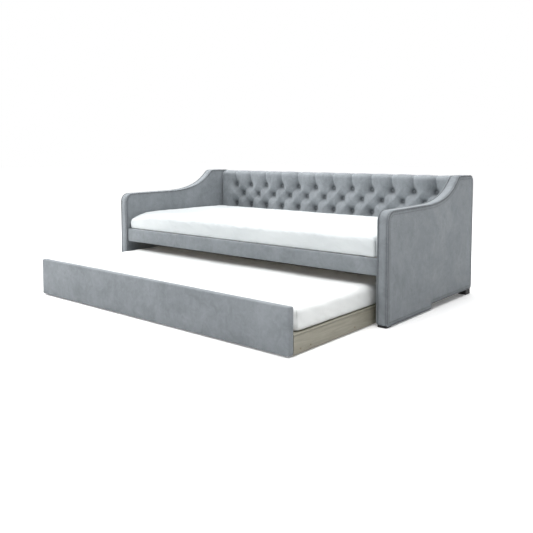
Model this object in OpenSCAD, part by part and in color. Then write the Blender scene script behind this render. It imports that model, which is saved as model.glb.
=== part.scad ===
// Upholstered daybed with a roll-out trundle, in millimetres.
// +X runs along the bed, -Y is the side one sits down from, +Z is up.
// The origin is on the floor, at the middle of everything with the trundle drawn out.

/* [Daybed] */
// Clear length between the two arms
inner_len = 1930; // [1880:10:2030]
// Thickness of one upholstered arm, without its piping
arm_t = 63; // [56:1:80]
// Depth from the front edge of the arms to the back
depth = 1021; // [1015:1:1060]
// Height of the arms where they meet the back
back_h = 716; // [690:2:760]
// Height of the low front part of the arms
arm_h = 571; // [540:1:590]
// Diameter of the piping along the arm seams
piping = 5; // [4:0.5:7]

/* [Base] */
// Height of the underside of the front rail
rail_z = 248; // [240:2:270]
// Height of the front rail itself
rail_h = 87; // [75:1:100]
// Number of slats under the upper mattress
slat_count = 14; // [10:1:16]

/* [Tufted back] */
// Buttons in the top row
button_cols = 12; // [8:1:12]
// Distance between two buttons of a row
button_pitch = 150; // [120:1:155]
// Height of the top row of buttons
button_z = 606; // [580:1:630]

/* [Trundle] */
// How far the trundle stands out of the bed
pull_out = 650; // [600:10:700]
// Height of the upholstered trundle front
front_h = 208; // [195:1:215]
// Height of the bare trundle boards
board_h = 78; // [76:1:82]
// Number of slats in the trundle
trundle_slat_count = 12; // [8:1:14]
// Radius of the castor wheels
wheel_r = 20; // [18:0.5:22]

/* [Mattresses] */
// Thickness of the upper mattress
mattress_t = 98; // [90:1:110]
// Thickness of the trundle mattress
trundle_mattress_t = 98; // [80:1:100]

/* [Hidden] */
$fn = 48;

half_in = inner_len / 2;
total_y = depth + pull_out;
front_y = pull_out - total_y / 2;      // front edge of the arms
trundle_y = -total_y / 2;              // face of the trundle front

// Arm outline
pad_t = 6;                             // padded panel on each side of an arm
border_t = 12;                         // padded strip round the edge of an arm
front_r = 56;                          // rounding of the arm's front top corner
rear_r = 44;                           // rounding of its rear top corner
foot_r = 20;                           // rounding of its lowest corners
skirt_z = 5;                           // underside of the front half
heel_z = 32;                           // underside of the rear half
step_y = 490;                          // where the underside steps up
knee_r = 54;                           // rounding where the slope meets the high part
knee_y = 839;                          // start of the level high part

// Base
rail_setback = 8;                      // front rail behind the arms' front edge
rail_t = 30;
rail_skin = 4;
slat_t = 15;
slat_w = 62;
slat_z = rail_z + rail_h - slat_t;     // underside of the slats
ledger = [25, 28];
rear_rail_t = 34;
back_frame_t = 32;
board_t = 6;
lining_t = 4;
back_t = 90;                           // whole thickness of the back
back_frame_y = depth - lining_t - back_frame_t;
rear_rail_y = back_frame_y - board_t - rear_rail_t;
back_pad_y = depth - back_t;           // face of the tufted pad
back_top = 707;
back_foot_z = 18;                      // lower end of the back's frame
button_t = 4;
row_drop = [0, 66, 147];                // each row of buttons below the top one
bracket = [38, 28, 3];                 // leg, height, thickness

// Mattresses
mattress_z = rail_z + rail_h + 2;
mattress_l = 1920;
mattress_y = 12;
mattress_w = 906;
trundle_mattress_l = 1862;
trundle_mattress_w = 885;

// Trundle
front_half = half_in - 28;
front_t = 35;
front_skin = 6;
front_z = 5;
side_t = 15;
side_half = front_half - 1;            // outer face of the side boards
trundle_d = 955;
trundle_ledger_z = 43;
trundle_slat_z = front_z + board_h - slat_t + 2;
trundle_ledger = [25, trundle_slat_z - trundle_ledger_z];
beam = [30, 54];
panel_t = 6;
beam_y = 492;
screw_z = 24;
screw_y = [82, 154, beam_y + beam[0] / 2, 806, 878];
castor_y = [118, 842];                 // axle lines behind the trundle's face
castor_x = side_half - 56;
wheel_w = 16;
axle_r = 3;
running = 0.05;
fork_gap = 20;
fork_t = 2.5;
plate_z = 48;

// Points of an arc, from angle a to angle b
function arc(c, r, a, b, n) = [for (i = [0:n]) let (t = a + (b - a) * i / n) c + r * [cos(t), sin(t)]];
// Points of a cubic curve
function curve(p, n) = [for (i = [0:n]) let (t = i / n, s = 1 - t)
    s * s * s * p[0] + 3 * s * s * t * p[1] + 3 * s * t * t * p[2] + t * t * t * p[3]];

// Side view of an arm in Y and Z, counter-clockwise, with the sweep from the low front to the high back
slope = [[420, arm_h + 3], [620, arm_h + 9], [720, arm_h + 49],
         [knee_y - knee_r * sin(45), back_h - knee_r * (1 - cos(45))]];
function arm_points() = concat(
    arc([foot_r, skirt_z + foot_r], foot_r, 180, 270, 4),
    [[step_y - 8, skirt_z], [step_y, heel_z]],
    arc([depth - foot_r, heel_z + foot_r], foot_r, 270, 360, 4),
    arc([depth - rear_r, back_h - rear_r], rear_r, 0, 90, 10),
    arc([knee_y, back_h - knee_r], knee_r, 90, 135, 5),
    [for (i = [1:23]) curve(slope, 24)[24 - i]],
    arc([front_r, arm_h - front_r], front_r, 90, 180, 12)
);
// The same outline drawn in by a distance, each point along its own normal
function inset(p, d) = let (n = len(p)) [for (i = [0:n - 1])
    let (t = p[(i + 1) % n] - p[(i + n - 1) % n], u = t / norm(t)) p[i] + d * [-u[1], u[0]]];

// A block between two corners
module block(a, b) {
    translate(a) cube(b - a);
}

// A side-view outline in Y and Z, extruded along X from x0 to x1
module side_slab(x0, x1) {
    translate([x0, 0, 0]) rotate([90, 0, 90]) linear_extrude(x1 - x0) children();
}

// Draws its children at both ends of the bed
module both_ends() {
    children();
    mirror([1, 0, 0]) children();
}

module on_bed() {
    translate([0, front_y, 0]) children();
}

module on_trundle() {
    translate([0, trundle_y, 0]) children();
}

// ---- arms, drawn for the right-hand end ----
module arm_core() {
    on_bed() side_slab(half_in + pad_t, half_in + arm_t - pad_t)
        polygon(inset(arm_points(), piping + border_t));
}

module arm_pad(x0) {
    on_bed() side_slab(x0, x0 + pad_t) polygon(inset(arm_points(), piping));
}

module arm_border() {
    on_bed() side_slab(half_in + pad_t, half_in + arm_t - pad_t) difference() {
        polygon(inset(arm_points(), piping));
        polygon(inset(arm_points(), piping + border_t));
    }
}

module piping_loop(x) {
    on_bed() side_slab(x - piping / 2, x + piping / 2) difference() {
        polygon(arm_points());
        polygon(inset(arm_points(), piping));
    }
}

module arm_piping() {
    piping_loop(half_in + pad_t / 2);
    piping_loop(half_in + arm_t - pad_t / 2);
}

module foot(y, len, h) {
    on_bed() translate([half_in + arm_t / 2, y, 0]) block([-24, 0, 0], [24, len, h]);
}

module front_feet() {
    color("black") both_ends() foot(6, 52, skirt_z + piping);
}

module rear_feet() {
    color("black") both_ends() foot(depth - 62, 58, heel_z + piping);
}

module right_core() {
    color("burlywood") arm_core();
}

module right_outer_pad() {
    color("slategray") arm_pad(half_in + arm_t - pad_t);
}

module right_inner_pad() {
    color("slategray") arm_pad(half_in);
}

module right_border() {
    color("slategray") arm_border();
}

module right_piping() {
    color("gray") arm_piping();
}

module left() {
    mirror([1, 0, 0]) children();
}

// ---- back ----
module back_top_rail() {
    color("burlywood") on_bed()
        block([-half_in, back_frame_y, 640], [half_in, back_frame_y + back_frame_t, 700]);
}

module back_bottom_rail() {
    color("burlywood") on_bed()
        block([-half_in, back_frame_y, back_foot_z], [half_in, back_frame_y + back_frame_t, back_foot_z + 60]);
}

module back_posts() {
    color("burlywood") on_bed() for (x = [-half_in + 30, -half_in / 3, half_in / 3, half_in - 30])
        block([x - 30, back_frame_y, back_foot_z + 60], [x + 30, back_frame_y + back_frame_t, 640]);
}

module back_board() {
    color("tan") on_bed()
        block([-half_in, back_frame_y - board_t, back_foot_z], [half_in, back_frame_y, 700]);
}

// The tufted pad, which turns over the top of the frame
module back_pad() {
    roll = 26;
    back_face = back_frame_y - board_t;
    rear_edge = back_frame_y + back_frame_t + lining_t;
    color("slategray") on_bed() side_slab(-half_in, half_in) polygon(concat(
        [[back_face, rail_z + rail_h], [back_face, 700], [rear_edge, 700], [rear_edge, back_top]],
        arc([back_pad_y + roll, back_top - roll], roll, 90, 180, 8),
        [[back_pad_y, rail_z + rail_h]]));
}

module back_buttons() {
    color("dimgray") on_bed() for (row = [0:2], i = [0:button_cols - 1 - row % 2]) {
        cols = button_cols - row % 2;
        translate([(i - (cols - 1) / 2) * button_pitch, back_pad_y, button_z - row_drop[row]])
            rotate([90, 0, 0]) cylinder(h = button_t, r = 11);
    }
}

module back_rear_cover() {
    y = back_frame_y + back_frame_t;
    color("slategray") on_bed() block([-half_in, y, back_foot_z - 4], [half_in, y + lining_t, 700]);
}

// ---- base of the daybed ----
module front_rail_block(skin, over) {
    block([-half_in - over, rail_setback + skin, rail_z + skin],
          [half_in + over, rail_setback + rail_t + max(over, 0), rail_z + rail_h - skin]);
}

module front_rail_core() {
    color("burlywood") on_bed() front_rail_block(rail_skin, -4);
}

module front_rail_cover() {
    color("slategray") on_bed() difference() {
        front_rail_block(0, 0);
        front_rail_block(rail_skin, 1);
    }
}

module rear_rail() {
    color("burlywood") on_bed()
        block([-half_in, rear_rail_y, rail_z], [half_in, back_frame_y - board_t, rail_z + rail_h]);
}

// Battens inside both rails that carry the slats
module slat_ledgers() {
    x = half_in - bracket[0] - 4;
    front = rail_setback + rail_t;
    color("burlywood") on_bed() for (y = [front, rear_rail_y - ledger[0]])
        block([-x, y, slat_z - ledger[1]], [x, y + ledger[0], slat_z]);
}

module slat_row(count, span, width, y0, y1, z) {
    for (i = [0:count - 1]) {
        x = -span / 2 + width / 2 + i * (span - width) / (count - 1);
        block([x - width / 2, y0, z], [x + width / 2, y1, z + slat_t]);
    }
}

module slats() {
    color("wheat") on_bed()
        slat_row(slat_count, inner_len - 50, slat_w, rail_setback + rail_t + 2, rear_rail_y - 2, slat_z);
}

// Two tapes stapled on top keep the slats apart
module slat_tapes() {
    color("whitesmoke") on_bed() for (y = [260, 720])
        block([-half_in + 25, y, slat_z + slat_t], [half_in - 25, y + 25, slat_z + slat_t + 1.2]);
}

module corner_places() {
    front = rail_setback + rail_t;
    both_ends() on_bed() {
        translate([half_in, front, rail_z + 4]) children();
        translate([half_in, rear_rail_y, rail_z + 4]) mirror([0, 1, 0]) children();
    }
}

// Steel angles that tie the rails to the arms
module corner_brackets() {
    mid = bracket[1] / 2;
    color("silver") corner_places() difference() {
        union() {
            block([-bracket[2], 0, 0], [0, bracket[0], bracket[1]]);
            block([-bracket[0], 0, 0], [0, bracket[2], bracket[1]]);
        }
        for (at = [14, 28]) {
            translate([-bracket[2] - 1, at, mid]) rotate([0, 90, 0]) cylinder(h = bracket[2] + 2, r = 3);
            translate([-at, bracket[2] + 1, mid]) rotate([90, 0, 0]) cylinder(h = bracket[2] + 2, r = 3);
        }
    }
}

module corner_bolts() {
    mid = bracket[1] / 2;
    color("gray") corner_places() for (at = [14, 28]) {
        translate([-bracket[2] - 3, at, mid]) rotate([0, 90, 0]) {
            cylinder(h = 3, r = 5.5);
            cylinder(h = 3 + bracket[2], r = 3);
        }
        translate([-at, bracket[2] + 3, mid]) rotate([90, 0, 0]) {
            cylinder(h = 3, r = 5.5);
            cylinder(h = 3 + bracket[2], r = 3);
        }
    }
}

// A mattress as one solid with rounded corners in plan and a bevelled rim
module mattress_solid(l, w, t, corner, rim) {
    module plan(d, h) {
        linear_extrude(h) hull() for (x = [-1, 1], y = [-1, 1])
            translate([x * (l / 2 - corner), y * (w / 2 - corner)]) circle(r = corner - d, $fn = 32);
    }
    hull() {
        translate([0, 0, rim]) plan(0, t - 2 * rim);
        plan(rim, t);
    }
}

module mattress() {
    color("white") on_bed() translate([0, mattress_y + mattress_w / 2, mattress_z])
        mattress_solid(mattress_l, mattress_w, mattress_t, 30, 22);
}

// ---- trundle ----
module trundle_front_core() {
    color("burlywood") on_trundle()
        block([-front_half + front_skin, front_skin, front_z + front_skin],
              [front_half - front_skin, front_t - lining_t, front_z + front_h - front_skin]);
}

module trundle_front_cover() {
    color("slategray") on_trundle() difference() {
        block([-front_half, 0, front_z], [front_half, front_t, front_z + front_h]);
        block([-front_half + front_skin, front_skin, front_z + front_skin],
              [front_half - front_skin, front_t + 1, front_z + front_h - front_skin]);
    }
}

module trundle_front_lining() {
    color("slategray") on_trundle()
        block([-front_half + front_skin, front_t - lining_t, front_z + front_skin],
              [front_half - front_skin, front_t, front_z + front_h - front_skin]);
}

module side_screw_rods(x0, len, r) {
    for (y = screw_y) translate([x0, y, screw_z]) rotate([0, 90, 0]) cylinder(h = len, r = r);
}

module trundle_right_board() {
    color("tan") on_trundle() difference() {
        block([side_half - side_t, front_t, front_z], [side_half, trundle_d - side_t, front_z + board_h]);
        side_screw_rods(side_half - side_t - 1, side_t + 2, 2);
    }
}

module trundle_left_board() {
    mirror([1, 0, 0]) trundle_right_board();
}

module trundle_rear_board() {
    color("tan") on_trundle()
        block([-side_half, trundle_d - side_t, front_z], [side_half, trundle_d, front_z + board_h]);
}

module trundle_ledgers() {
    x = side_half - side_t;
    color("burlywood") on_trundle() for (y = [front_t, trundle_d - side_t - trundle_ledger[0]])
        block([-x, y, trundle_ledger_z], [x, y + trundle_ledger[0], trundle_slat_z]);
}

module trundle_centre_beam() {
    x = side_half - side_t;
    color("burlywood") on_trundle()
        block([-x, beam_y, trundle_slat_z - beam[1]], [x, beam_y + beam[0], trundle_slat_z]);
}

module trundle_slats() {
    color("wheat") on_trundle()
        slat_row(trundle_slat_count, 2 * (side_half - side_t) - 4, 70,
                 front_t + 1, trundle_d - side_t - 1, trundle_slat_z);
}

// Thin panel on the slats, which shows as a line above the side boards
module trundle_base_panel() {
    color("tan") on_trundle()
        block([-side_half + 0.5, front_t + 1, trundle_slat_z + slat_t],
              [side_half - 0.5, trundle_d - 1, trundle_slat_z + slat_t + panel_t]);
}

// Screws through the side boards, with low round heads
module trundle_screws() {
    color("dimgray") on_trundle() both_ends() {
        side_screw_rods(side_half - side_t, side_t, 2);
        side_screw_rods(side_half, 1, 4);
    }
}

module trundle_mattress() {
    color("white") on_trundle()
        translate([0, front_t + 25 + trundle_mattress_w / 2, trundle_slat_z + slat_t + panel_t + 0.5])
            mattress_solid(trundle_mattress_l, trundle_mattress_w, trundle_mattress_t, 45, 18);
}

// ---- castors ----
module castor_places() {
    both_ends() on_trundle() for (y = castor_y) translate([castor_x, y, 0]) children();
}

// An L-shaped block in each corner: its upright is screwed on, its flat carries the castor
module castor_blocks() {
    inner_face = side_half - side_t;
    color("burlywood") both_ends() on_trundle() for (y = castor_y) {
        block([inner_face - 18, y - 50, 15], [inner_face, y + 50, trundle_slat_z]);
        block([castor_x - 32, y - 50, plate_z], [inner_face - 18, y + 50, trundle_slat_z]);
    }
}

module castor_forks() {
    color("silver") castor_places() difference() {
        union() {
            block([-26, -24, plate_z - fork_t], [20, 24, plate_z]);
            for (x = [-fork_gap / 2 - fork_t, fork_gap / 2]) {
                block([x, -8, wheel_r], [x + fork_t, 8, plate_z - fork_t]);
                translate([x, 0, wheel_r]) rotate([0, 90, 0]) cylinder(h = fork_t, r = 8);
            }
        }
        translate([-30, 0, wheel_r]) rotate([0, 90, 0]) cylinder(h = 60, r = axle_r);
    }
}

module castor_axles() {
    reach = fork_gap / 2 + fork_t;
    color("gray") castor_places() translate([-reach, 0, wheel_r]) rotate([0, 90, 0]) {
        cylinder(h = 2 * reach, r = axle_r);
        translate([0, 0, -1.5]) cylinder(h = 1.5, r = axle_r + 1.5);
        translate([0, 0, 2 * reach]) cylinder(h = 1.5, r = axle_r + 1.5);
    }
}

module castor_screws() {
    color("dimgray") castor_places() for (x = [-21, 17], y = [-19, 19])
        translate([x - 1, y, plate_z - fork_t - 1.5]) cylinder(h = 1.5, r = 2.6);
}

module wheel() {
    translate([0, 0, wheel_r]) rotate([0, 90, 0]) rotate_extrude()
        polygon([[axle_r + running, -wheel_w / 2 - 1.5], [7, -wheel_w / 2 - 1.5], [7, -wheel_w / 2],
                 [wheel_r - 2, -wheel_w / 2], [wheel_r, -wheel_w / 2 + 2], [wheel_r, wheel_w / 2 - 2],
                 [wheel_r - 2, wheel_w / 2], [7, wheel_w / 2], [7, wheel_w / 2 + 1.5],
                 [axle_r + running, wheel_w / 2 + 1.5]]);
}

module wheel_at(side, row) {
    color("black") on_trundle() translate([side * castor_x, castor_y[row], 0]) wheel();
}

left() right_core();  // left_arm_core
left() right_outer_pad();  // left_arm_outer_pad
left() right_inner_pad();  // left_arm_inner_pad
left() right_border();  // left_arm_border
left() right_piping();  // left_arm_piping
right_core();  // right_arm_core
right_outer_pad();  // right_arm_outer_pad
right_inner_pad();  // right_arm_inner_pad
right_border();  // right_arm_border
right_piping();  // right_arm_piping
front_feet();
rear_feet();
back_top_rail();
back_bottom_rail();
back_posts();
back_board();
back_pad();
back_buttons();
back_rear_cover();
front_rail_core();
front_rail_cover();
rear_rail();
slat_ledgers();
slats();
slat_tapes();
corner_brackets();
corner_bolts();
mattress();
trundle_front_core();
trundle_front_cover();
trundle_front_lining();
trundle_left_board();
trundle_right_board();
trundle_rear_board();
trundle_ledgers();
trundle_centre_beam();
trundle_slats();
trundle_base_panel();
trundle_screws();
trundle_mattress();
castor_blocks();
castor_forks();
castor_axles();
castor_screws();
wheel_at(-1, 0);  // wheel_front_left
wheel_at(1, 0);  // wheel_front_right
wheel_at(-1, 1);  // wheel_rear_left
wheel_at(1, 1);  // wheel_rear_right
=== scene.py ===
"""Looks of an upholstered daybed with a roll-out trundle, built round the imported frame."""

import math

import bmesh
import bpy
import numpy as np
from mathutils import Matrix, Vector, noise


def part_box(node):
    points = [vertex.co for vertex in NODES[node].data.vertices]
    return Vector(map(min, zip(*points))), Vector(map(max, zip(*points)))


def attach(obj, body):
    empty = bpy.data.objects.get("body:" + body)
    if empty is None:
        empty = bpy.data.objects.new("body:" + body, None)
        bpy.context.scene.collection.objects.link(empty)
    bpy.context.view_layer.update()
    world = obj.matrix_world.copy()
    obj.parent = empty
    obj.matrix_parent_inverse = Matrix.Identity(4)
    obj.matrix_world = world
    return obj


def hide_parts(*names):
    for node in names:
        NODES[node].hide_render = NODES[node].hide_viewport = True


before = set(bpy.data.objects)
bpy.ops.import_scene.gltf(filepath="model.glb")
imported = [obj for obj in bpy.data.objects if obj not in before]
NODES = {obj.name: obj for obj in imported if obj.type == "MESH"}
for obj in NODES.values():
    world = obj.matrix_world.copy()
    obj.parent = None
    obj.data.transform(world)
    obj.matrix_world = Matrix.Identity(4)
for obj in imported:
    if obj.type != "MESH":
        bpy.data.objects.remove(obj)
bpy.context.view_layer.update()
BED = "daybed_frame"
TRUNDLE = "trundle"

# ---------------------------------------------------------------- sizes, in metres
SEAM_CORD = 0.0028  # radius of the piping
PANEL_ROUND = 0.011  # width over which a padded panel rolls down to its seam
GUSSET_CROWN = 0.0038  # how far the border strip bulges between its seams
STITCH_INSET = 0.017  # line of stitching inside the seam of an arm's outer panel
STITCH_WIDTH = 0.0022
STITCH_DEPTH = 0.0013
PANEL_SEAM_SHADE = 0.0055  # reach of the painted shade beside a panel's seam
# reach of the painted shade beside the border strip's seams
GUSSET_SEAM_SHADE = 0.0045
CORD_LIFT = 0.0012  # how far the piping stands out from the border
TUFT_DEPTH = 0.037  # from the crown of a puff to its deepest fold
TUFT_LEVEL = 0.80  # share of the tufted relief that lies behind the pad's face
DIMPLE_REACH = 0.036  # how far a button pulls the velvet in
FOLD_WIDTH = 0.013  # slanted folds between buttons
PLEAT_WIDTH = 0.016  # upright folds above and below the buttons
BACK_TOP_ROUND = 0.030
END_TUCK = 0.016  # how far the pad turns in beside the arms
BUTTON_R = 0.0105
BUTTON_SINK = 0.0035  # how far a button lies behind the bottom of its dimple
# painted shade over the whole piping cord, from 0 to 1
PIPING_SHADE = 0.4
MATTRESS_PRESSURE = 3.0
MATTRESS_SWELL = 0.006  # most that the simulation may move a point
FOOT_SQUARE = 0.85  # how square a mattress is in plan at its bottom, from 0 to 1
BASE_RIM = 0.009  # how far up the tight lower edge of a mattress turns

# ---------------------------------------------------------------- light and camera
FILL_FROM = (-0.45, -0.78, 0.44)  # where the surrounding light is strongest
FILL_LOW = 0.05
FILL_HIGH = 0.25
FLOOR_GLOW = 0.12  # how far the floor near the bed lights itself
# Each light's place, the point it faces, its size and its power
CEILING_LIGHT = ((0.3, 0.2, 3.6), (0, 0, 0.2), (5.5, 4.0), 310)
KEY_LIGHT = ((-3.5, -1.2, 1.5), (0, 0.3, 0.45), (1.0, 0.9), 120)
FRONT_LIGHT = ((0.6, -4.0, 1.1), (0, 0.2, 0.25), (4.0, 1.2), 32)
CAMERA_PLACE = (2.5164, -2.8609, 0.8476)
CAMERA_YAW = 39.991  # degrees
CAMERA_PITCH = -3.953
CAMERA_LENS = 42.947
CAMERA_SHIFT_Y = -0.1313


def box(node):
    lo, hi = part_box(node)
    return np.array(lo), np.array(hi)


# ---------------------------------------------------------------- mesh helpers
class Shell:
    """Collects grids of points into one mesh."""

    def __init__(self):
        self.points = []
        self.faces = []
        self.count = 0

    def grid(self, pts, wrap_u=False, wrap_v=False):
        nu, nv = pts.shape[:2]
        ids = self.count + np.arange(nu * nv).reshape(nu, nv)
        if wrap_u:
            ids = np.vstack([ids, ids[:1]])
        if wrap_v:
            ids = np.hstack([ids, ids[:, :1]])
        quads = np.stack([ids[:-1, :-1], ids[1:, :-1], ids[1:, 1:], ids[:-1, 1:]], axis=-1)
        self.points.append(pts.reshape(-1, 3))
        self.faces.append(quads.reshape(-1, 4))
        self.count += nu * nv

    def object(self, name, weld=0.0):
        mesh = bpy.data.meshes.new(name)
        faces = np.vstack(self.faces).tolist()
        mesh.from_pydata(np.vstack(self.points).tolist(), [], faces)
        mesh.validate()
        obj = bpy.data.objects.new(name, mesh)
        bpy.context.scene.collection.objects.link(obj)
        tidy_mesh(mesh, weld)
        shade_smooth(mesh)
        return obj


def shade_smooth(mesh):
    mesh.polygons.foreach_set("use_smooth", [True] * len(mesh.polygons))


def tidy_mesh(mesh, weld):
    """Welds seams between grids, and turns all faces outwards."""
    bm = bmesh.new()
    bm.from_mesh(mesh)
    if weld:
        bmesh.ops.remove_doubles(bm, verts=bm.verts, dist=weld)
    bmesh.ops.recalc_face_normals(bm, faces=bm.faces)
    bm.to_mesh(mesh)
    bm.free()


def paint_shade(obj, values):
    """Stores how much painted shade each point has, from 0 to 1: darkening put where shade falls in seams,
    grooves, dimples and on buttons.
    """
    layer = obj.data.attributes.new("shade", "FLOAT", "POINT")
    layer.data.foreach_set("value", np.clip(values, 0, 1).astype(np.float32).ravel())


def coords(obj):
    co = np.empty(len(obj.data.vertices) * 3)
    obj.data.vertices.foreach_get("co", co)
    return co.reshape(-1, 3)


def set_coords(obj, co):
    obj.data.vertices.foreach_set("co", np.ascontiguousarray(co).ravel())
    obj.data.update()


def lumps(co, scale, seed=0.0):
    """Smooth noise from -1 to 1 at each point."""
    shift = Vector((seed, seed * 1.7, -seed))
    return np.array([noise.noise(Vector(p) * scale + shift) for p in co])


def clustered(lo, hi, margin, fine, coarse):
    """Positions from lo to hi, close together within a margin of both ends."""
    n_fine = max(2, int(round(margin / fine)))
    n_mid = max(1, int(math.ceil((hi - lo - 2 * margin) / coarse)))
    start = np.linspace(lo, lo + margin, n_fine + 1)
    mid = np.linspace(lo + margin, hi - margin, n_mid + 1)[1:-1]
    end = np.linspace(hi - margin, hi, n_fine + 1)
    return np.concatenate([start, mid, end])


def soft_box(name, lo, hi, radius, step, fine=None):
    """A box with all its edges rounded, meshed finely enough to be shaped afterwards."""
    lo, hi = np.array(lo), np.array(hi)
    fine = fine or radius / 4
    axes = [clustered(lo[i], hi[i], radius, fine, step) for i in range(3)]
    shell = Shell()
    for k in range(3):
        a, b = [i for i in range(3) if i != k]
        ga, gb = np.meshgrid(axes[a], axes[b], indexing="ij")
        for side in (lo[k], hi[k]):
            pts = np.zeros(ga.shape + (3,))
            pts[..., a], pts[..., b], pts[..., k] = ga, gb, side
            shell.grid(pts)
    obj = shell.object(name, weld=1e-6)
    co = coords(obj)
    core = np.clip(co, lo + radius, hi - radius)
    out = co - core
    length = np.linalg.norm(out, axis=1, keepdims=True)
    square = np.abs(out).max(axis=1, keepdims=True)
    set_coords(obj, core + out / np.maximum(length, 1e-9) * square)
    return obj


def round_plan(co, lo, hi, corner):
    """Rounds the four upright corners of a shape in plan."""
    out = co.copy()
    core = np.clip(co[:, :2], lo[:2] + corner, hi[:2] - corner)
    d = co[:, :2] - core
    length = np.linalg.norm(d, axis=1)
    square = np.abs(d).max(axis=1)
    both = np.abs(d).min(axis=1) > 1e-9
    out[both, :2] = core[both] + d[both] * (square / np.maximum(length, 1e-9))[both, None]
    return out


def finish_piece(obj, body, material, replaces):
    """Gives a piece its material and its body, and hides the nodes that it stands for."""
    obj.data.materials.clear()
    obj.data.materials.append(material)
    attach(obj, body)
    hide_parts(*replaces)


def subdivide(obj):
    mod = obj.modifiers.new("smooth", "SUBSURF")
    mod.levels = 1
    mod.render_levels = 1
    apply_modifiers(obj)


def apply_modifiers(obj):
    depsgraph = bpy.context.evaluated_depsgraph_get()
    depsgraph.update()
    mesh = bpy.data.meshes.new_from_object(obj.evaluated_get(depsgraph))
    obj.modifiers.clear()
    obj.data = mesh
    shade_smooth(mesh)


# ---------------------------------------------------------------- materials
class Graph:
    """A short way to write a procedural material."""

    def __init__(self, name):
        self.mat = bpy.data.materials.new(name)
        self.mat.use_nodes = True
        self.tree = self.mat.node_tree
        self.bsdf = self.tree.nodes["Principled BSDF"]
        self.place = self.add("ShaderNodeTexCoord").outputs["Object"]

    def add(self, kind, values=None, **props):
        node = self.tree.nodes.new(kind)
        for key, value in props.items():
            setattr(node, key, value)
        for key, value in (values or {}).items():
            self.put(node.inputs[key], value)
        return node

    def put(self, socket, value):
        if isinstance(value, bpy.types.NodeSocket):
            self.tree.links.new(value, socket)
        else:
            socket.default_value = value

    def stretched(self, scale):
        return self.add("ShaderNodeMapping", {"Vector": self.place, "Scale": scale}).outputs[0]

    def noise(self, scale, detail=3.0, rough=0.5, where=None, distortion=0.0):
        values = {"Vector": where or self.place, "Scale": scale, "Detail": detail}
        values.update({"Roughness": rough, "Distortion": distortion})
        return self.add("ShaderNodeTexNoise", values).outputs["Fac"]

    def wave(self, scale, direction):
        values = {"Vector": self.place, "Scale": scale}
        return self.add("ShaderNodeTexWave", values, bands_direction=direction).outputs["Fac"]

    def ramp(self, value, low, high, to_low=0.0, to_high=1.0):
        values = {"Value": value, "From Min": low, "From Max": high, "To Min": to_low, "To Max": to_high}
        return self.add("ShaderNodeMapRange", values).outputs["Result"]

    def math(self, op, a, b=0.0):
        node = self.add("ShaderNodeMath", operation=op)
        self.put(node.inputs[0], a)
        self.put(node.inputs[1], b)
        return node.outputs[0]

    def mix(self, factor, a, b, blend="MIX"):
        node = self.add("ShaderNodeMix", data_type="RGBA", blend_type=blend)
        self.put(node.inputs["Factor"], factor)
        self.put(node.inputs[6], a)
        self.put(node.inputs[7], b)
        return node.outputs[2]

    def bump(self, height, distance, strength=1.0, after=None):
        values = {"Height": height, "Distance": distance, "Strength": strength}
        node = self.add("ShaderNodeBump", values)
        if after is not None:
            self.put(node.inputs["Normal"], after)
        return node.outputs[0]

    def set(self, **values):
        for key, value in values.items():
            self.put(self.bsdf.inputs[key.replace("_", " ")], value)
        return self.mat


def rgb(r, g, b):
    """A colour from display values out of 255 to scene-linear."""
    linear = [c / 255 / 12.92 if c < 10 else ((c / 255 + 0.055) / 1.055) ** 2.4 for c in (r, g, b)]
    return (*linear, 1.0)


def velvet(name, dark, light, streaks=(70, 70, 7), contrast=0.5):
    g = Graph(name)
    patches = g.noise(5.5, 4, 0.6, distortion=0.6)
    nap = g.noise(1.0, 3, 0.6, where=g.stretched(streaks))
    fibre = g.noise(1500, 2, 0.7)
    crush = g.noise(26, 3, 0.65, distortion=1.2)
    tone = g.math("ADD", g.math("MULTIPLY", patches, 0.5), g.math("MULTIPLY", nap, 0.16))
    tone = g.math("ADD", tone, g.math("MULTIPLY", crush, 0.34))
    factor = g.ramp(tone, 0.5 - 0.5 * contrast / 2, 0.5 + 0.5 * contrast / 2)
    colour = g.mix(factor, dark, light)
    speck = g.ramp(fibre, 0.25, 0.75, 0.86, 1.1)
    speck_rgb = g.add("ShaderNodeCombineColor", {"Red": speck, "Green": speck, "Blue": speck}).outputs[0]
    colour = g.mix(1.0, colour, speck_rgb, "MULTIPLY")
    # Painted shade: the shade attribute mixes the velvet towards dark grey at seams, grooves, dimples and
    # buttons.
    shade = g.add("ShaderNodeAttribute", attribute_name="shade").outputs["Fac"]
    colour = g.mix(g.math("MULTIPLY", shade, 0.75), colour, rgb(46, 49, 52))
    normal = g.bump(crush, 0.0012, 0.35)
    normal = g.bump(fibre, 0.0005, 0.5, after=normal)
    g.set(Base_Color=colour, Roughness=g.ramp(nap, 0.3, 0.7, 0.72, 0.92), Normal=normal)
    g.set(Sheen_Weight=0.55, Sheen_Roughness=0.38, Sheen_Tint=rgb(214, 220, 224))
    return g.set(Specular_IOR_Level=0.18)


def cotton(name, low, high):
    g = Graph(name)
    weave = g.math("MULTIPLY", g.wave(700.0, "X"), g.wave(700.0, "Y"))
    wide = g.noise(2.2, 4, 0.6, distortion=0.8)
    crease = g.noise(1.0, 4, 0.62, where=g.stretched((9, 14, 20)), distortion=1.6)
    colour = g.mix(g.ramp(wide, 0.3, 0.7), low, high)
    normal = g.bump(crease, 0.006, 0.35)
    normal = g.bump(weave, 0.0004, 0.35, after=normal)
    g.set(Base_Color=colour, Roughness=g.ramp(wide, 0.3, 0.7, 0.78, 0.9), Normal=normal)
    g.set(Sheen_Weight=0.15, Sheen_Roughness=0.5)
    return g.set(Specular_IOR_Level=0.25)


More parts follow.
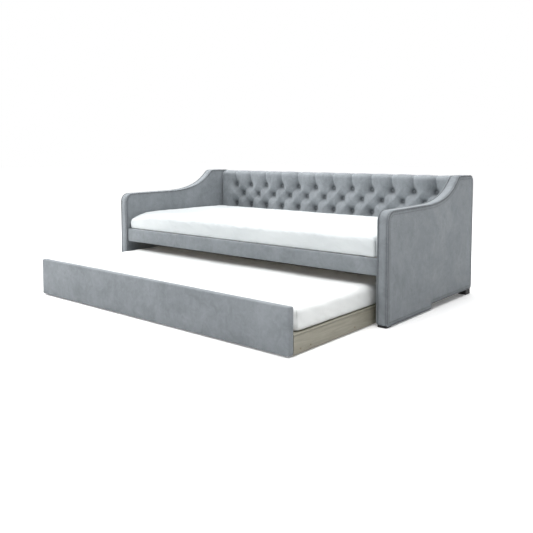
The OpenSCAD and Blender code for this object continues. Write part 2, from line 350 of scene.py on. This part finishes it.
def timber(name, dark, light, along=(1.2, 26, 26), gloss=0.55):
    g = Graph(name)
    rings = g.noise(1.0, 5, 0.6, where=g.stretched(along), distortion=1.8)
    fine = g.noise(1.0, 3, 0.7, where=g.stretched(tuple(14 * a for a in along)))
    factor = g.math("ADD", g.math("MULTIPLY", rings, 0.7), g.math("MULTIPLY", fine, 0.3))
    colour = g.mix(g.ramp(factor, 0.33, 0.67), dark, light)
    g.set(Base_Color=colour, Roughness=g.ramp(fine, 0.3, 0.7, gloss - 0.1, gloss + 0.15))
    return g.set(Normal=g.bump(factor, 0.0008, 0.4))


def foil_board(name):
    g = Graph(name)
    grain = g.noise(1.0, 4, 0.7, where=g.stretched((60, 5, 60)), distortion=0.9)
    speck = g.noise(420, 2, 0.6)
    colour = g.mix(g.ramp(grain, 0.3, 0.7), rgb(126, 123, 110), rgb(149, 146, 132))
    colour = g.mix(g.ramp(speck, 0.60, 0.72, 0.0, 0.35), colour, rgb(116, 111, 97))
    g.set(Base_Color=colour, Roughness=g.ramp(grain, 0.3, 0.7, 0.5, 0.62))
    return g.set(Normal=g.bump(speck, 0.0003, 0.4))


def woven(name, dark, light, scale=420.0):
    g = Graph(name)
    weave = g.math("MULTIPLY", g.wave(scale, "X"), g.wave(scale, "Z"))
    patches = g.noise(9, 4, 0.6)
    factor = g.math("ADD", g.math("MULTIPLY", weave, 0.5), g.math("MULTIPLY", patches, 0.5))
    g.set(Base_Color=g.mix(factor, dark, light), Roughness=g.ramp(patches, 0.3, 0.7, 0.82, 0.95))
    return g.set(Normal=g.bump(weave, 0.0006, 0.5))


def metal(name, dark, light, rough=0.38):
    g = Graph(name)
    cloud = g.noise(60, 4, 0.6)
    scratch = g.noise(1.0, 2, 0.6, where=g.stretched((30, 900, 900)))
    colour = g.mix(g.ramp(cloud, 0.3, 0.7), dark, light)
    g.set(Base_Color=colour, Roughness=g.ramp(scratch, 0.3, 0.7, rough - 0.08, rough + 0.14))
    g.set(Normal=g.bump(scratch, 0.0002, 0.3))
    return g.set(Metallic=0.95)


def moulded(name, colour, rough=0.5):
    g = Graph(name)
    grain = g.noise(900, 2, 0.5)
    dust = g.noise(22, 4, 0.6)
    lighter = tuple(min(1.0, c * 1.8 + 0.01) for c in colour[:3]) + (1.0,)
    g.set(Base_Color=g.mix(g.ramp(dust, 0.45, 0.8, 0.0, 0.6), colour, lighter))
    return g.set(Roughness=g.ramp(dust, 0.3, 0.7, rough, rough + 0.2), Normal=g.bump(grain, 0.0002, 0.35))


MAT_ARM = velvet("velvet_arm", rgb(112, 117, 121), rgb(132, 137, 141))
MAT_BACK = velvet("velvet_back", rgb(112, 117, 121), rgb(140, 145, 149), streaks=(50, 50, 12), contrast=0.6)
MAT_RAIL = velvet("velvet_rail", rgb(109, 114, 118), rgb(130, 135, 139), streaks=(55, 55, 9))
MAT_PIPING = velvet("velvet_piping", rgb(116, 121, 125), rgb(140, 145, 149), streaks=(90, 90, 90))
MAT_SHEET = cotton("cotton_sheet", rgb(184, 189, 191), rgb(197, 201, 202))
# Painted light: the lower sheet is a lighter copy of the same white cotton, for the brighter light on the
# lower mattress.
MAT_LOWER_SHEET_LIT = cotton("cotton_lower_sheet_lit", rgb(212, 215, 215), rgb(224, 226, 225))
MAT_LINING = woven("lining_cloth", rgb(58, 60, 63), rgb(92, 95, 98))
MAT_TAPE = woven("slat_tape_cloth", rgb(186, 186, 180), rgb(222, 222, 216), 900.0)
MAT_TIMBER = timber("frame_pine", rgb(168, 128, 84), rgb(214, 178, 128))
MAT_SLAT = timber("slat_birch", rgb(196, 178, 150), rgb(224, 210, 186), along=(26, 1.2, 26))
MAT_BOARD = timber("hardboard_brown", rgb(66, 61, 56), rgb(88, 82, 75), along=(20, 20, 20), gloss=0.45)
MAT_FOIL = foil_board("taupe_foil")
MAT_STEEL = metal("bracket_zinc", rgb(150, 152, 156), rgb(196, 198, 202))
MAT_SCREW = metal("fastener_plated", rgb(104, 92, 76), rgb(150, 138, 120), rough=0.42)
MAT_FEET = moulded("feet_black", rgb(24, 24, 26))
MAT_WHEEL = moulded("wheel_rubber_black", rgb(34, 34, 36), rough=0.55)

BARE_NODES = {
    "back_board": MAT_BOARD, "slat_tapes": MAT_TAPE, "slats": MAT_SLAT, "trundle_slats": MAT_SLAT,
    "trundle_base_panel": MAT_FOIL, "trundle_rear_board": MAT_FOIL,
    "trundle_left_board": MAT_FOIL, "trundle_right_board": MAT_FOIL,
    "corner_brackets": MAT_STEEL, "castor_forks": MAT_STEEL, "castor_axles": MAT_STEEL,
    "corner_bolts": MAT_SCREW, "trundle_screws": MAT_SCREW, "castor_screws": MAT_SCREW,
    "front_feet": MAT_FEET, "rear_feet": MAT_FEET,
    "wheel_front_left": MAT_WHEEL, "wheel_front_right": MAT_WHEEL,
    "wheel_rear_left": MAT_WHEEL, "wheel_rear_right": MAT_WHEEL,
}


def dress_bare_nodes():
    for name, obj in NODES.items():
        material = BARE_NODES.get(name, MAT_TIMBER)
        for held in obj.material_slots:
            held.material = material
        if not obj.material_slots:
            obj.data.materials.append(material)


# ---------------------------------------------------------------- arms
def resample(loop, n):
    """A closed loop of 2D points at n even steps."""
    closed = np.vstack([loop, loop[:1]])
    run = np.concatenate([[0], np.cumsum(np.linalg.norm(np.diff(closed, axis=0), axis=1))])
    at = np.linspace(0, run[-1], n, endpoint=False)
    return np.stack([np.interp(at, run, closed[:, i]) for i in range(2)], axis=1)


def node_outline(name, n):
    """The side outline of an extruded node in Y and Z, counter-clockwise."""
    co = coords(NODES[name])
    lo, hi = box(name)
    cap = co[np.abs(co[:, 0] - hi[0]) < 1e-4][:, 1:]
    cap = np.unique(np.round(cap, 6), axis=0)
    centre = (lo[1:] + hi[1:]) / 2
    centre[1] -= 0.08
    angle = np.arctan2(cap[:, 1] - centre[1], cap[:, 0] - centre[0])
    return resample(cap[np.argsort(angle)], n)


def normals_2d(loop):
    t = np.roll(loop, -1, axis=0) - np.roll(loop, 1, axis=0)
    t /= np.linalg.norm(t, axis=1, keepdims=True)
    return np.stack([t[:, 1], -t[:, 0]], axis=1)


def smooth_loop(loop, times):
    for _ in range(times):
        loop = (np.roll(loop, 1, axis=0) + 2 * loop + np.roll(loop, -1, axis=0)) / 4
    return loop


def distance_to_loop(points, loop):
    a = loop
    b = np.roll(loop, -1, axis=0)
    ab = b - a
    best = np.full(len(points), 1e9)
    for i in range(len(a)):
        t = np.clip(((points - a[i]) @ ab[i]) / (ab[i] @ ab[i]), 0, 1)
        gap = np.linalg.norm(points - a[i] - t[:, None] * ab[i], axis=1)
        best = np.minimum(best, gap)
    return best


def panel_grid(loop, columns, rows):
    """Fills a side outline with a grid whose border lies on the outline."""
    y0, y1 = loop[:, 0].min(), loop[:, 0].max()
    s = (1 - np.cos(np.linspace(0, math.pi, columns))) / 2
    ys = y0 + (y1 - y0) * s
    ext = np.vstack([loop, loop[:1]])
    top, bottom = np.full(columns, -1e9), np.full(columns, 1e9)
    for a, b in zip(ext[:-1], ext[1:]):
        low, high = sorted((a[0], b[0]))
        inside = (ys >= low - 1e-9) & (ys <= high + 1e-9)
        t = np.clip((ys - a[0]) / (b[0] - a[0]) if abs(b[0] - a[0]) > 1e-9 else 0 * ys, 0, 1)
        z = a[1] + t * (b[1] - a[1])
        both = np.array([a[1], b[1]])
        z_high = np.where(abs(b[0] - a[0]) > 1e-9, z, both.max())
        z_low = np.where(abs(b[0] - a[0]) > 1e-9, z, both.min())
        top = np.where(inside, np.maximum(top, z_high), top)
        bottom = np.where(inside, np.minimum(bottom, z_low), bottom)
    v = (1 - np.cos(np.linspace(0, math.pi, rows))) / 2
    z = bottom[:, None] + (top - bottom)[:, None] * v[None, :]
    y = np.repeat(ys[:, None], rows, axis=1)
    return y, z


def arm_panel(name, loop, seam_x, face_x, seed, stitched):
    """One padded side of an arm, rolled down to its seam all round."""
    y, z = panel_grid(loop, 260, 150)
    flat = np.stack([y.ravel(), z.ravel()], axis=1)
    d = distance_to_loop(flat, loop)
    roll = np.clip(1 - d / PANEL_ROUND, 0, 1)
    height = np.sqrt(1 - roll**2)
    at = np.column_stack([np.full(len(flat), face_x), flat])
    soft = 0.0008 * lumps(at, 6.0, seed) + 0.0003 * lumps(at, 22.0, seed + 3)
    tug = 0.0006 * lumps(np.column_stack([at[:, 0], at[:, 1] * 1.0, at[:, 2] * 0.4]), 60.0, seed + 7)
    near = np.exp(-d / 0.03) * (1 - np.exp(-d / 0.006))
    out = math.copysign(1.0, face_x - seam_x)
    groove = np.exp(-(((d - STITCH_INSET) / STITCH_WIDTH) ** 2)) * stitched
    relief = (soft - 0.0006) * height + tug * near - STITCH_DEPTH * groove
    x = seam_x + (face_x - seam_x) * height + out * relief
    shell = Shell()
    shell.grid(np.stack([x.reshape(y.shape), y, z], axis=-1))
    panel = shell.object(name)
    # Painted shade along the seam all round and along the line of stitching.
    paint_shade(panel, 1.15 * np.exp(-d / PANEL_SEAM_SHADE) + 0.45 * groove)
    return panel


def arm_gusset(name, loop, x_in, x_out, seed):
    """The border strip that runs round the edge of an arm between its two seams."""
    normal = normals_2d(smooth_loop(loop, 6))
    across = np.linspace(0, 1, 17)
    pts = np.zeros((len(loop), len(across), 3))
    crown = 1 - np.abs(2 * across - 1) ** 3.2
    wave = lumps(np.column_stack([np.zeros(len(loop)), loop]), 14.0, seed)
    fine = lumps(np.column_stack([np.zeros(len(loop)), loop]), 70.0, seed + 2)
    rise = GUSSET_CROWN * (1 + 0.16 * wave[:, None] + 0.05 * fine[:, None]) * crown[None, :]
    pts[..., 0] = x_in + (x_out - x_in) * across[None, :]
    pts[..., 1] = loop[:, 0:1] + normal[:, 0:1] * rise
    pts[..., 2] = loop[:, 1:2] + normal[:, 1:2] * rise
    shell = Shell()
    shell.grid(pts, wrap_u=True)
    gusset = shell.object(name)
    # Painted shade along both seams of the border strip.
    edge = np.minimum(across, 1 - across) * abs(x_out - x_in)
    paint_shade(gusset, np.tile(1.25 * np.exp(-edge / GUSSET_SEAM_SHADE), (len(loop), 1)))
    return gusset


def tube_loop(shell, loop, x, radius, lift):
    """A closed cord laid along a side outline."""
    smooth = smooth_loop(loop, 4)
    normal = normals_2d(smooth)
    turn = np.linspace(0, 2 * math.pi, 12, endpoint=False)
    pts = np.zeros((len(loop), len(turn), 3))
    out = lift + radius * np.sin(turn)[None, :]
    pts[..., 0] = x + radius * np.cos(turn)[None, :]
    pts[..., 1] = smooth[:, 0:1] + normal[:, 0:1] * out
    pts[..., 2] = smooth[:, 1:2] + normal[:, 1:2] * out
    shell.grid(pts, wrap_u=True, wrap_v=True)


def build_arm(side):
    """Both panels, the border strip and the piping of one arm."""
    outer, inner = side + "_arm_outer_pad", side + "_arm_inner_pad"
    lo_o, hi_o = box(outer)
    lo_i, hi_i = box(inner)
    if side == "right":
        face_out, seam_out, face_in, seam_in = hi_o[0], lo_o[0], lo_i[0], hi_i[0]
    else:
        face_out, seam_out, face_in, seam_in = lo_o[0], hi_o[0], hi_i[0], lo_i[0]
    loop = node_outline("right_arm_outer_pad", 900)
    seed = 1.0 if side == "right" else 5.0
    out_panel = arm_panel(side + "_arm_outer_panel", loop, seam_out, face_out, seed, 1.0)
    in_panel = arm_panel(side + "_arm_inner_panel", loop, seam_in, face_in, seed + 10, 0.0)
    gusset = arm_gusset(side + "_arm_border_strip", loop, seam_in, seam_out, seed)
    shell = Shell()
    half = (seam_out - face_out) / 2
    tube_loop(shell, loop, seam_out - half * 0.6, SEAM_CORD, CORD_LIFT)
    tube_loop(shell, loop, seam_in - (seam_in - face_in) / 2 * 0.6, SEAM_CORD, CORD_LIFT)
    cords = shell.object(side + "_arm_piping_cords")
    # Painted shade over the whole cord, so the piping reads as part of the dark seam line.
    paint_shade(cords, np.full(len(cords.data.vertices), PIPING_SHADE))
    finish_piece(out_panel, BED, MAT_ARM, [outer])
    finish_piece(in_panel, BED, MAT_ARM, [inner])
    finish_piece(gusset, BED, MAT_ARM, [side + "_arm_border"])
    finish_piece(cords, BED, MAT_PIPING, [side + "_arm_piping"])


# ---------------------------------------------------------------- tufted back
def button_places():
    """Centres of the buttons in X and Z, read from the frame, row by row from the top."""
    co = coords(NODES["back_buttons"])
    lo, hi = box("back_buttons")
    front = co[np.abs(co[:, 1] - lo[1]) < 1e-4]
    left = [np.array([p[0], p[2]]) for p in front]
    places = []
    while left:
        near = [p for p in left if np.linalg.norm(p - left[0]) < 0.03]
        places.append((np.max(near, axis=0) + np.min(near, axis=0)) / 2)
        left = [p for p in left if np.linalg.norm(p - left[0]) >= 0.03]
    rows = sorted({round(p[1], 2) for p in places}, reverse=True)
    return [sorted([tuple(p) for p in places if abs(p[1] - z) < 0.01]) for z in rows]


def pleat_lines(rows, top, bottom):
    """Folds between neighbouring buttons, and straight ones to the top and the base."""
    lines = [(p, (p[0], top)) for p in rows[0]]
    lines += [(p, (p[0], bottom)) for p in rows[-1]]
    for upper, lower in zip(rows[:-1], rows[1:]):
        pitch = upper[1][0] - upper[0][0]
        for p in upper:
            lines += [(p, q) for q in lower if abs(p[0] - q[0]) < pitch * 0.75]
    return [(np.array(a), np.array(b)) for a, b in lines]


def distance_to_lines(points, lines):
    best = np.full(len(points), 1e9)
    for a, b in lines:
        ab = b - a
        t = np.clip(((points - a) @ ab) / (ab @ ab), 0, 1)
        best = np.minimum(best, np.linalg.norm(points - a - t[:, None] * ab, axis=1))
    return best


def tuft_height(flat, rows, lines, at):
    """Height of the tufted surface over its lowest level, from 0 to 1."""
    spots = np.array([p for row in rows for p in row])
    db = np.full(len(flat), 1e9)
    for p in spots:
        db = np.minimum(db, np.linalg.norm(flat - p, axis=1))
    upright = [line for line in lines if abs(line[0][0] - line[1][0]) < 1e-6]
    slanted = [line for line in lines if abs(line[0][0] - line[1][0]) > 1e-6]
    dimple = 1 - np.exp(-((db / DIMPLE_REACH) ** 1.25))
    fold = 1 - np.exp(-((distance_to_lines(flat, slanted) / FOLD_WIDTH) ** 0.85))
    pleat = 1 - np.exp(-((distance_to_lines(flat, upright) / PLEAT_WIDTH) ** 0.9))
    grip = 0.12 + 0.50 * np.exp(-db / DIMPLE_REACH)
    pull = 0.40 + 0.34 * np.exp(-db / 0.05)
    height = dimple * (1 - grip + grip * fold) * (1 - pull + pull * pleat)
    pucker = 0.035 * np.exp(-db / 0.03) * lumps(at, 55.0, 4.0)
    return height + pucker + 0.03 * lumps(at, 9.0, 2.0)


def back_profile(roll, lo, hi, top_z):
    """Path up the face, round the rolled top and back to the rear edge: Y, Z and the outward normal."""
    face_y, base_z = lo[1], lo[2]
    straight = np.linspace(base_z, top_z - roll, 96)
    path = [(face_y, z, -1.0, 0.0) for z in straight]
    for a in np.linspace(0, math.pi / 2, 18)[1:]:
        c, s = math.cos(a), math.sin(a)
        path.append((face_y + roll * (1 - c), top_z - roll * (1 - s), -c, s))
    for y in np.linspace(face_y + roll, hi[1] - 0.006, 12)[1:]:
        path.append((y, top_z, 0.0, 1.0))
    for a in np.linspace(0, math.pi / 2, 6)[1:]:
        c, s = math.cos(a), math.sin(a)
        path.append((hi[1] - 0.006 + 0.006 * s, top_z - 0.006 * (1 - c), s, c))
    path.append((hi[1], top_z - 0.018, 1.0, 0.0))
    return np.array(path)


def build_back():
    lo, hi = box("back_pad")
    path = back_profile(BACK_TOP_ROUND, lo, hi, hi[2])
    run = np.concatenate([[0], np.cumsum(np.linalg.norm(np.diff(path[:, :2], axis=0), axis=1))])
    xs = clustered(lo[0] + 0.0006, hi[0] - 0.0006, 0.03, 0.0025, 0.0042)
    rows = button_places()
    end_s = lo[2] + run[-1]
    lines = pleat_lines(rows, end_s - 0.035, lo[2])
    s = lo[2] + run
    gx, gs = np.meshgrid(xs, s, indexing="ij")
    flat = np.stack([gx.ravel(), gs.ravel()], axis=1)
    at = np.column_stack([flat[:, 0], np.zeros(len(flat)), flat[:, 1]])
    height = tuft_height(flat, rows, lines, at).reshape(gx.shape)
    rear = np.clip((s - (end_s - 0.11)) / 0.11, 0, 1)
    over = np.clip((s - (end_s - 0.09)) / 0.03, 0, 1)[None, :]
    amount = TUFT_DEPTH * (1 - rear)[None, :]
    ends = np.minimum(gx - lo[0], hi[0] - gx)
    tuck = END_TUCK * np.exp(-((ends / 0.012) ** 1.3))
    out = amount * (height - TUFT_LEVEL) - tuck - 0.002 * rear[None, :]
    out = np.maximum(out, -0.1 * (1 - over) - 0.005 * over)
    pts = np.zeros(gx.shape + (3,))
    pts[..., 0] = gx
    pts[..., 1] = path[None, :, 0] + path[None, :, 2] * out
    pts[..., 2] = path[None, :, 1] + path[None, :, 3] * out
    shell = Shell()
    shell.grid(pts)
    pad = shell.object("back_tufted_pad")
    # Painted shade in the deep folds, round the buttons and where the pad turns in beside the arms.
    deep = np.clip((0.62 - height) / 0.62, 0, 1) ** 1.4 * (1 - rear)[None, :]
    spots = np.array([p for row in rows for p in row])
    near = np.array([np.linalg.norm(spots - p, axis=1).min() for p in flat]).reshape(gx.shape)
    paint_shade(pad, 0.7 * deep + 0.9 * np.exp(-((near / 0.017) ** 2)) + 0.9 * np.exp(-ends / 0.008))
    finish_piece(pad, BED, MAT_BACK, ["back_pad"])
    build_buttons(rows, lo[1] + TUFT_DEPTH * TUFT_LEVEL)


def build_buttons(rows, dimple_y):
    """Velvet-covered buttons, slightly domed, sunk in their dimples."""
    shell = Shell()
    ring = np.linspace(0, 2 * math.pi, 24, endpoint=False)
    dome = [(0.0004, 0.0064), (0.35, 0.0062), (0.65, 0.0053), (0.86, 0.0036)]
    profile = dome + [(0.97, 0.0016), (1.0, -0.001), (0.96, -0.004), (0.8, -0.008)]
    for row in rows:
        for x, z in row:
            tilt = 0.0006 * math.sin(37 * x + 11 * z)
            pts = np.zeros((len(profile), len(ring), 3))
            for i, (r, up) in enumerate(profile):
                pts[i, :, 0] = x + BUTTON_R * r * np.cos(ring)
                pts[i, :, 1] = dimple_y - up + BUTTON_SINK + tilt * np.cos(ring)
                pts[i, :, 2] = z + BUTTON_R * r * np.sin(ring)
            shell.grid(pts, wrap_v=True)
    buttons = shell.object("back_velvet_buttons")
    # Painted shade: the buttons are darkened as if in the shadow of their dimples.
    paint_shade(buttons, np.full(len(buttons.data.vertices), 0.72))
    finish_piece(buttons, BED, MAT_BACK, ["back_buttons"])


def build_rear_cover():
    """The cloth across the rear of the back, pulled to its staples."""
    lo, hi = box("back_rear_cover")
    xs = clustered(lo[0], hi[0], 0.03, 0.003, 0.012)
    zs = clustered(lo[2], hi[2], 0.03, 0.003, 0.012)
    gx, gz = np.meshgrid(xs, zs, indexing="ij")
    edge = np.minimum(np.minimum(gx - lo[0], hi[0] - gx), np.minimum(gz - lo[2], hi[2] - gz))
    at = np.column_stack([gx.ravel(), np.zeros(gx.size), gz.ravel()])
    soft = (0.0012 * lumps(at, 3.5, 9.0)).reshape(gx.shape)
    pull = 0.0008 * np.exp(-edge / 0.02) * np.cos(2 * math.pi * (gx + gz) / 0.05)
    y = hi[1] - 0.0008 + np.clip(soft + pull, -0.0004, 0.0010) - 0.0003 * np.exp(-edge / 0.004)
    gx, gz = np.pad(gx, 1, mode="edge"), np.pad(gz, 1, mode="edge")
    shell = Shell()
    shell.grid(np.stack([gx, np.pad(y, 1, constant_values=lo[1] + 0.0002), gz], axis=-1))
    cover = shell.object("back_rear_cloth")
    finish_piece(cover, BED, MAT_LINING, ["back_rear_cover"])


# ---------------------------------------------------------------- rail and trundle front
def padded_board(name, node, body, radius, crown, seed):
    """A board wrapped in padding and velvet: rounded edges and a slightly crowned face."""
    lo, hi = box(node)
    skin = np.array([0.0002, 0.0003, 0.0003])
    obj = soft_box(name, lo + skin, hi - skin, radius, 0.012)
    co = coords(obj)
    soft = lumps(co, 5.0, seed) * 0.0009 + lumps(co, 24.0, seed + 1) * 0.0003
    across = (co[:, 2] - lo[2]) / (hi[2] - lo[2])
    dome = 4 * across * (1 - across)
    ends = np.minimum(co[:, 0] - lo[0], hi[0] - co[:, 0])
    front = np.clip(1 - (co[:, 1] - lo[1]) / 0.006, 0, 1)
    co[:, 1] -= front * crown * dome * (1 - np.exp(-ends / 0.03))
    co[:, 1] -= front * soft
    top = np.clip(1 - (hi[2] - co[:, 2]) / 0.006, 0, 1)
    co[:, 2] += top * soft
    set_coords(obj, co)
    finish_piece(obj, body, MAT_RAIL, [node])


def build_front_rail():
    padded_board("front_rail_velvet", "front_rail_cover", BED, radius=0.007, crown=0.002, seed=3.0)


def build_trundle_front():
    padded_board("trundle_front_velvet", "trundle_front_cover", TRUNDLE,
                 radius=0.007, crown=0.0025, seed=8.0)
    build_trundle_lining()


def build_trundle_lining():
    lo, hi = box("trundle_front_lining")
    xs = clustered(lo[0] + 0.004, hi[0] - 0.004, 0.02, 0.003, 0.012)
    zs = clustered(lo[2] + 0.004, hi[2] - 0.004, 0.02, 0.003, 0.010)
    gx, gz = np.meshgrid(xs, zs, indexing="ij")
    edge = np.minimum(np.minimum(gx - xs[0], xs[-1] - gx), np.minimum(gz - zs[0], zs[-1] - gz))
    at = np.column_stack([gx.ravel(), np.zeros(gx.size), gz.ravel()])
    soft = (0.0005 * lumps(at, 8.0, 5.0)).reshape(gx.shape)
    y = hi[1] + 0.0006 + soft - 0.0016 * np.exp(-edge / 0.003)
    shell = Shell()
    shell.grid(np.stack([gx, y, gz], axis=-1))
    lining = shell.object("trundle_front_back_cloth")
    finish_piece(lining, TRUNDLE, MAT_LINING, ["trundle_front_lining"])


# ---------------------------------------------------------------- mattresses
def swell(obj, pressure, cap):
    """Lets a cloth simulation fill a soft shape, then keeps how far it moved under a cap."""
    start = coords(obj)
    cloth = obj.modifiers.new("fill", "CLOTH")
    cloth.settings.use_pressure = True
    cloth.settings.uniform_pressure_force = pressure
    cloth.settings.effector_weights.gravity = 0.0
    cloth.settings.quality = 4
    cloth.settings.shrink_min = -0.02
    cloth.collision_settings.use_collision = False
    scene = bpy.context.scene
    for step in range(1, 16):
        scene.frame_set(step)
    apply_modifiers(obj)
    scene.frame_set(1)
    moved = coords(obj) - start
    length = np.linalg.norm(moved, axis=1, keepdims=True)
    keep = cap * np.tanh(length / cap) / np.maximum(length, 1e-9)
    set_coords(obj, start + moved * keep)


def creases(co, lo, hi, seed):
    """How far the sheet rises in shallow folds, most of all near its edges and corners."""
    edge = np.minimum(co[:, :2] - lo[:2], hi[:2] - co[:, :2]).min(axis=1)
    near = np.exp(-np.maximum(edge, 0) / 0.09)
    slant = np.column_stack([co[:, 0] * 1.0 + co[:, 2] * 1.6, co[:, 1] + co[:, 2], co[:, 2] * 0.2])
    ridges = 1 - np.abs(lumps(slant, 11.0, seed)) * 2
    fine = lumps(slant, 34.0, seed + 4)
    flat = lumps(co, 3.0, seed + 9)
    return near * (0.0032 * ridges + 0.0012 * fine) + 0.0022 * flat


def square_foot(co, lo, hi, corner):
    """Tightens the upright corners of a shape towards its bottom."""
    core = np.clip(co[:, :2], lo[:2] + corner, hi[:2] - corner)
    d = co[:, :2] - core
    stretch = np.linalg.norm(d, axis=1) / np.maximum(np.abs(d).max(axis=1), 1e-9)
    low = 1 - np.clip((co[:, 2] - lo[2]) / (hi[2] - lo[2]), 0, 1)
    grow = 1 + FOOT_SQUARE * low * np.maximum(stretch - 1, 0)
    out = co.copy()
    out[:, :2] = core + d * grow[:, None]
    return out


def droop(co, lo, hi, amount):
    """Lets the top of the front left corner sag under the pull of the sheet."""
    away = np.linalg.norm((co[:, :2] - lo[:2]) / (0.13, 0.09), axis=1)
    share = np.clip((co[:, 2] - lo[2]) / (hi[2] - lo[2]), 0, 1) ** 1.5
    out = co.copy()
    out[:, 2] -= amount * share * np.exp(-(away**2))
    return out


def build_mattress(name, node, body, material, inset, rim, corner, seed, sag):
    """A mattress in a fitted sheet: filled, rounded and lightly creased."""
    lo, hi = box(node)
    start, end = lo + inset, hi - inset
    sunk = start - np.array([0, 0, rim - BASE_RIM])
    obj = soft_box(name, sunk, end, rim, 0.016, fine=0.0065)
    co = round_plan(coords(obj), sunk, end, corner)
    co = square_foot(co, sunk, end, max(corner, rim))
    co[:, 2] = np.maximum(co[:, 2], start[2])
    set_coords(obj, co)
    swell(obj, MATTRESS_PRESSURE, MATTRESS_SWELL)
    subdivide(obj)
    co = droop(coords(obj), lo, hi, sag)
    centre = (lo + hi) / 2
    out = co - np.clip(co, start + 0.06, end - 0.06)
    out[:, 2] = np.where(co[:, 2] > centre[2], 0.6 * np.maximum(out[:, 2], 0), out[:, 2])
    length = np.linalg.norm(out, axis=1, keepdims=True)
    direction = np.where(length > 1e-6, out / np.maximum(length, 1e-6), [[0.0, 0.0, 1.0]])
    rest = np.clip((co[:, 2] - lo[2]) / 0.02, 0, 1)
    co = co + direction * (creases(co, lo, hi, seed) * rest)[:, None]
    co[:, 0] = np.clip(co[:, 0], lo[0] - 0.003, hi[0] + 0.003)
    co[:, 1] = np.clip(co[:, 1], lo[1] - 0.002, hi[1])
    co[:, 2] = np.maximum(co[:, 2], lo[2] + 0.0003)
    set_coords(obj, co)
    finish_piece(obj, body, material, [node])


def build_mattresses():
    build_mattress("upper_mattress_sheet", "mattress", "upper_mattress", MAT_SHEET,
                   inset=0.0005, rim=0.030, corner=0.030, seed=2.0, sag=0.034)
    build_mattress("lower_mattress_sheet", "trundle_mattress", "lower_mattress", MAT_LOWER_SHEET_LIT,
                   inset=0.003, rim=0.026, corner=0.055, seed=6.0, sag=0.0)


# ---------------------------------------------------------------- studio
def aim(obj, target):
    obj.rotation_euler = (Vector(target) - obj.location).to_track_quat("-Z", "Y").to_euler()


def area_light(name, place, target, size, power, colour=(1, 1, 1)):
    data = bpy.data.lights.new(name, "AREA")
    data.shape = "RECTANGLE"
    data.size, data.size_y = size
    data.energy = power
    data.color = colour
    obj = bpy.data.objects.new(name, data)
    obj.location = place
    bpy.context.scene.collection.objects.link(obj)
    aim(obj, target)


def build_floor():
    mesh = bpy.data.meshes.new("studio_floor")
    size = 30.0
    corners = [(-size, -size, 0), (size, -size, 0), (size, size, 0), (-size, size, 0)]
    mesh.from_pydata(corners, [], [(0, 1, 2, 3)])
    obj = bpy.data.objects.new("studio_floor", mesh)
    obj.location.z = -0.0005
    bpy.context.scene.collection.objects.link(obj)
    g = Graph("floor_pale")
    tone = g.noise(0.6, 2, 0.5)
    g.set(Base_Color=g.mix(tone, rgb(246, 246, 246), rgb(250, 250, 250)), Roughness=0.9)
    far = g.add("ShaderNodeVectorMath", {0: g.place}, operation="LENGTH").outputs["Value"]
    glow = g.ramp(far, 1.6, 4.5, FLOOR_GLOW, 0.85)
    g.set(Emission_Color=(1, 1, 1, 1), Emission_Strength=glow)
    mesh.materials.append(g.set(Specular_IOR_Level=0.1))


def side_fill(nodes, links):
    """Strength of the surrounding light, stronger from the left and the front."""
    place = nodes.new("ShaderNodeTexCoord")
    dot = nodes.new("ShaderNodeVectorMath")
    dot.operation = "DOT_PRODUCT"
    dot.inputs[1].default_value = FILL_FROM
    span = nodes.new("ShaderNodeMapRange")
    for key, value in (("From Min", -0.9), ("From Max", 0.9), ("To Min", FILL_LOW), ("To Max", FILL_HIGH)):
        span.inputs[key].default_value = value
    links.new(place.outputs["Generated"], dot.inputs[0])
    links.new(dot.outputs["Value"], span.inputs["Value"])
    return span.outputs["Result"]


def build_studio():
    scene = bpy.context.scene
    scene.view_settings.view_transform = "Standard"
    world = bpy.data.worlds.new("studio")
    scene.world = world
    world.use_nodes = True
    nodes, links = world.node_tree.nodes, world.node_tree.links
    light_path = nodes.new("ShaderNodeLightPath")
    strength = nodes.new("ShaderNodeMapRange")
    strength.inputs["To Max"].default_value = 1.0
    links.new(light_path.outputs["Is Camera Ray"], strength.inputs["Value"])
    nodes["Background"].inputs[0].default_value = (1, 1, 1, 1)
    links.new(strength.outputs["Result"], nodes["Background"].inputs[1])
    links.new(side_fill(nodes, links), strength.inputs["To Min"])
    area_light("ceiling", *CEILING_LIGHT)
    area_light("key", *KEY_LIGHT)
    area_light("front", *FRONT_LIGHT)
    build_floor()


def build_camera():
    data = bpy.data.cameras.new("camera")
    data.sensor_width = 36.0
    data.lens = CAMERA_LENS
    data.shift_y = CAMERA_SHIFT_Y
    data.clip_end = 100.0
    obj = bpy.data.objects.new("camera", data)
    obj.location = CAMERA_PLACE
    obj.rotation_euler = (math.radians(90 + CAMERA_PITCH), 0.0, math.radians(CAMERA_YAW))
    bpy.context.scene.collection.objects.link(obj)
    bpy.context.scene.camera = obj


build_camera()
build_studio()
dress_bare_nodes()
build_arm("left")
build_arm("right")
build_back()
build_rear_cover()
build_front_rail()
build_trundle_front()
build_mattresses()
